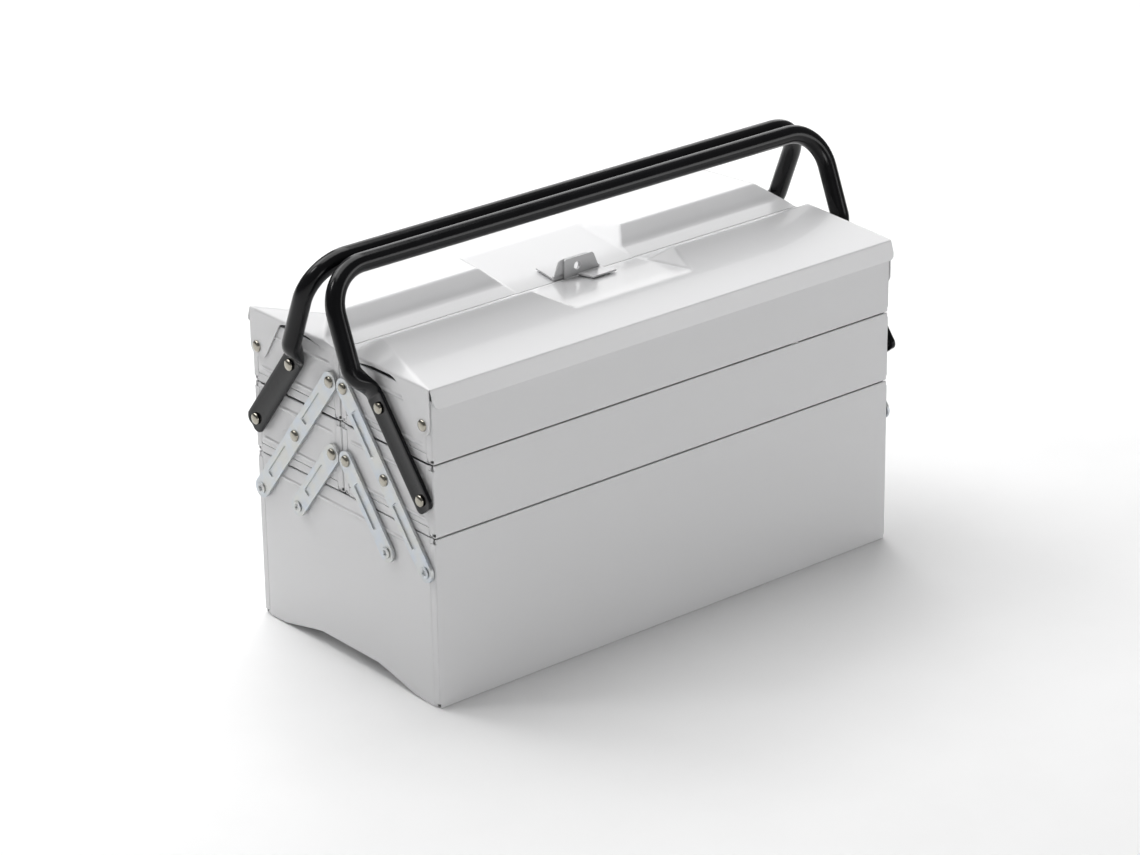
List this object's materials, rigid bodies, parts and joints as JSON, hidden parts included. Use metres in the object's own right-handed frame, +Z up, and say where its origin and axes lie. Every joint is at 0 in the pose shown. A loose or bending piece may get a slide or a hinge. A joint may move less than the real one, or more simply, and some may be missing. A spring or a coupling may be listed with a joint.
{
  "type": "toolbox with tray",
  "caption": "Cantilever steel toolbox with fold-out trays on parallel arms, hinged roof-shaped lids, a padlock hasp and tubular carrying handles.",
  "frame": {"origin": "under the middle of the base, on the ground, halfway along the length and the depth", "axes": "+X along the length, +Y from front to back, +Z up"},
  "size_m": [0.4732, 0.218, 0.31],
  "materials": {
    "grey_enamel": "light grey gloss enamel on pressed sheet steel",
    "black_enamel": "black gloss enamel on bent steel tube",
    "zinc_plate": "bright zinc plate",
    "nickel_rivet": "polished nickel plate, warm"
  },
  "bodies": {
    "base": {"base_shell": "grey_enamel", "base_end_left": "grey_enamel", "base_end_right": "grey_enamel", "base_arm_rivets": "zinc_plate", "base_spacers": "zinc_plate"},
    "front_long_arms": {"front_long_arm_left": "zinc_plate", "front_long_arm_right": "zinc_plate"},
    "front_short_arms": {"front_short_arm_left": "zinc_plate", "front_short_arm_right": "zinc_plate"},
    "front_middle_tray": {"front_middle_tray_shell": "grey_enamel", "front_middle_tray_end_left": "grey_enamel", "front_middle_tray_end_right": "grey_enamel", "front_middle_tray_rivets": "nickel_rivet", "front_middle_tray_spacers": "zinc_plate"},
    "front_top_tray": {"front_top_tray_shell": "grey_enamel", "front_top_tray_end_left": "grey_enamel", "front_top_tray_end_right": "grey_enamel", "front_top_tray_rivets": "nickel_rivet", "front_top_tray_spacers": "zinc_plate", "front_lid_rivets": "nickel_rivet"},
    "front_handle": {"front_handle": "black_enamel"},
    "front_lid": {"front_lid": "grey_enamel", "front_hasp_tab": "grey_enamel"},
    "back_long_arms": {"back_long_arm_left": "zinc_plate", "back_long_arm_right": "zinc_plate"},
    "back_short_arms": {"back_short_arm_left": "zinc_plate", "back_short_arm_right": "zinc_plate"},
    "back_middle_tray": {"back_middle_tray_shell": "grey_enamel", "back_middle_tray_end_left": "grey_enamel", "back_middle_tray_end_right": "grey_enamel", "back_middle_tray_rivets": "nickel_rivet", "back_middle_tray_spacers": "zinc_plate"},
    "back_top_tray": {"back_top_tray_shell": "grey_enamel", "back_top_tray_end_left": "grey_enamel", "back_top_tray_end_right": "grey_enamel", "back_top_tray_rivets": "nickel_rivet", "back_top_tray_spacers": "zinc_plate", "back_lid_rivets": "nickel_rivet"},
    "back_handle": {"back_handle": "black_enamel"},
    "back_lid": {"back_lid": "grey_enamel", "back_hasp_tab": "grey_enamel"}
  },
  "joints": [
    {"name": "front_swing", "type": "hinge", "parent": "base", "child": "front_long_arms", "pos_m": [0, -0.096, 0.104], "axis": [1, 0, 0], "range_deg": [0, 77.3]},
    {"name": "front_short_arm_pivot", "type": "hinge", "parent": "base", "child": "front_short_arms", "pos_m": [0, -0.052, 0.104], "axis": [1, 0, 0], "range_deg": [0, 77.3]},
    {"name": "front_middle_tray_pivot", "type": "hinge", "parent": "front_long_arms", "child": "front_middle_tray", "pos_m": [0, -0.052, 0.159], "axis": [1, 0, 0], "range_deg": [-77.3, 0]},
    {"name": "front_top_tray_pivot", "type": "hinge", "parent": "front_long_arms", "child": "front_top_tray", "pos_m": [0, -0.008, 0.214], "axis": [1, 0, 0], "range_deg": [-77.3, 0]},
    {"name": "front_handle_pivot", "type": "hinge", "parent": "front_middle_tray", "child": "front_handle", "pos_m": [0, -0.096, 0.159], "axis": [1, 0, 0], "range_deg": [0, 77.3]},
    {"name": "front_lid_hinge", "type": "hinge", "parent": "front_top_tray", "child": "front_lid", "pos_m": [0, -0.096, 0.214], "axis": [1, 0, 0], "range_deg": [0, 75]},
    {"name": "back_swing", "type": "hinge", "parent": "base", "child": "back_long_arms", "pos_m": [0, 0.096, 0.104], "axis": [-1, 0, 0], "range_deg": [0, 77.3]},
    {"name": "back_short_arm_pivot", "type": "hinge", "parent": "base", "child": "back_short_arms", "pos_m": [0, 0.052, 0.104], "axis": [-1, 0, 0], "range_deg": [0, 77.3]},
    {"name": "back_middle_tray_pivot", "type": "hinge", "parent": "back_long_arms", "child": "back_middle_tray", "pos_m": [0, 0.052, 0.159], "axis": [-1, 0, 0], "range_deg": [-77.3, 0]},
    {"name": "back_top_tray_pivot", "type": "hinge", "parent": "back_long_arms", "child": "back_top_tray", "pos_m": [0, 0.008, 0.214], "axis": [-1, 0, 0], "range_deg": [-77.3, 0]},
    {"name": "back_handle_pivot", "type": "hinge", "parent": "back_middle_tray", "child": "back_handle", "pos_m": [0, 0.096, 0.159], "axis": [-1, 0, 0], "range_deg": [0, 77.3]},
    {"name": "back_lid_hinge", "type": "hinge", "parent": "back_top_tray", "child": "back_lid", "pos_m": [0, 0.096, 0.214], "axis": [-1, 0, 0], "range_deg": [0, 75]}
  ],
  "couplings": [
    {"joint": "front_short_arm_pivot", "follows": "front_swing", "ratio": 1},
    {"joint": "front_middle_tray_pivot", "follows": "front_swing", "ratio": -1},
    {"joint": "front_top_tray_pivot", "follows": "front_swing", "ratio": -1},
    {"joint": "front_handle_pivot", "follows": "front_swing", "ratio": 1},
    {"joint": "back_short_arm_pivot", "follows": "back_swing", "ratio": 1},
    {"joint": "back_middle_tray_pivot", "follows": "back_swing", "ratio": -1},
    {"joint": "back_top_tray_pivot", "follows": "back_swing", "ratio": -1},
    {"joint": "back_handle_pivot", "follows": "back_swing", "ratio": 1}
  ]
}
